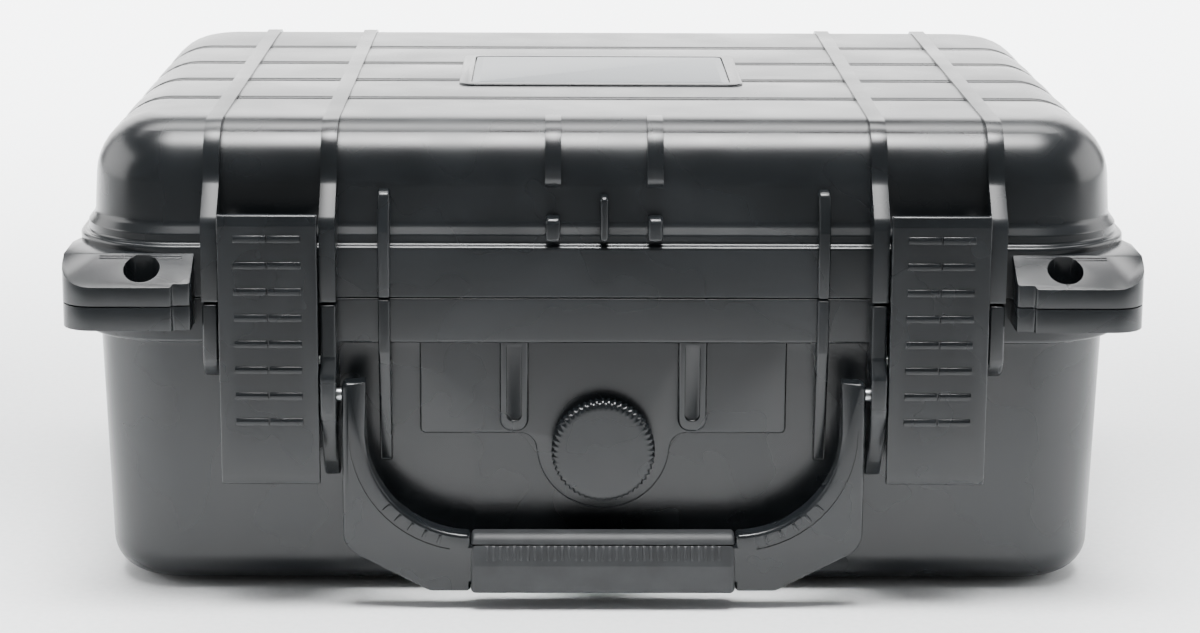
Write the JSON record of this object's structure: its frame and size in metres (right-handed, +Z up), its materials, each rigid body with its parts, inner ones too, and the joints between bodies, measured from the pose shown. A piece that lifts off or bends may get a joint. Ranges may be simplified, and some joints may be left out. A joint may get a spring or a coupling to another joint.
{
  "type": "drone carrying case",
  "caption": "Moulded hard carrying case with hinged lid, lever latches, folding handle, purge valve, rim seal and pocketed foam for a drone and its kit.",
  "frame": {"origin": "centre of the case's footprint, on the surface that it stands on", "axes": "+Z up, -Y towards the front with the latches and handle, +X to the right of a person facing the front"},
  "size_m": [0.406, 0.33, 0.184],
  "materials": {
    "shell_plastic": "moulded black polypropylene, satin with a fine spark-eroded grain",
    "nylon": "moulded black glass-filled nylon, satin",
    "grip_rubber": "overmoulded black thermoplastic rubber, matt",
    "seal_rubber": "black rubber, matt",
    "foam": "open-cell charcoal polyurethane foam",
    "label": "plain grey satin plate",
    "pin_steel": "drawn stainless steel"
  },
  "bodies": {
    "base": {"base_shell": "shell_plastic", "base_foam_pad": "foam", "base_foam_tray": "foam", "foot_front_left": "seal_rubber", "foot_front_right": "seal_rubber", "foot_rear_left": "seal_rubber", "foot_rear_right": "seal_rubber", "valve_body": "nylon", "valve_nut": "nylon", "valve_oring": "seal_rubber", "latch_left_base_pin": "pin_steel", "latch_right_base_pin": "pin_steel", "handle_pin_left": "pin_steel", "handle_pin_right": "pin_steel", "hinge_pin_left": "pin_steel", "hinge_pin_right": "pin_steel"},
    "lid": {"lid_shell": "shell_plastic", "lid_gasket": "seal_rubber", "lid_foam": "foam", "label_plate": "label"},
    "latch_left_link": {"latch_left_link": "nylon", "latch_left_lever_pin": "pin_steel"},
    "latch_left_lever": {"latch_left_lever": "nylon"},
    "latch_right_link": {"latch_right_link": "nylon", "latch_right_lever_pin": "pin_steel"},
    "latch_right_lever": {"latch_right_lever": "nylon"},
    "handle": {"handle_frame": "nylon", "handle_grip": "grip_rubber"},
    "valve_knob": {"valve_knob": "nylon"}
  },
  "joints": [
    {"name": "lid_hinge", "type": "hinge", "parent": "base", "child": "lid", "pos_m": [0, 0.1585, 0.11865], "axis": [-1, 0, 0], "range_deg": [0, 105]},
    {"name": "latch_left_link_pivot", "type": "hinge", "parent": "base", "child": "latch_left_link", "pos_m": [-0.1255, -0.152, 0.0955], "axis": [1, 0, 0], "range_deg": [0, 20]},
    {"name": "latch_left_lever_pivot", "type": "hinge", "parent": "latch_left_link", "child": "latch_left_lever", "pos_m": [-0.1255, -0.155, 0.1405], "axis": [-1, 0, 0], "range_deg": [0, 100]},
    {"name": "latch_right_link_pivot", "type": "hinge", "parent": "base", "child": "latch_right_link", "pos_m": [0.1255, -0.152, 0.0955], "axis": [1, 0, 0], "range_deg": [0, 20]},
    {"name": "latch_right_lever_pivot", "type": "hinge", "parent": "latch_right_link", "child": "latch_right_lever", "pos_m": [0.1255, -0.155, 0.1405], "axis": [-1, 0, 0], "range_deg": [0, 100]},
    {"name": "handle_fold", "type": "hinge", "parent": "base", "child": "handle", "pos_m": [0, -0.1575, 0.0835], "axis": [-1, 0, 0], "range_deg": [0, 95]},
    {"name": "valve_turn", "type": "hinge", "parent": "base", "child": "valve_knob", "pos_m": [0, -0.1435, 0.06], "axis": [0, -1, 0], "range_deg": [0, 180]}
  ],
  "couplings": [
    {"joint": "latch_left_link_pivot", "follows": "latch_left_lever_pivot", "ratio": 0.2},
    {"joint": "latch_right_link_pivot", "follows": "latch_right_lever_pivot", "ratio": 0.2}
  ]
}
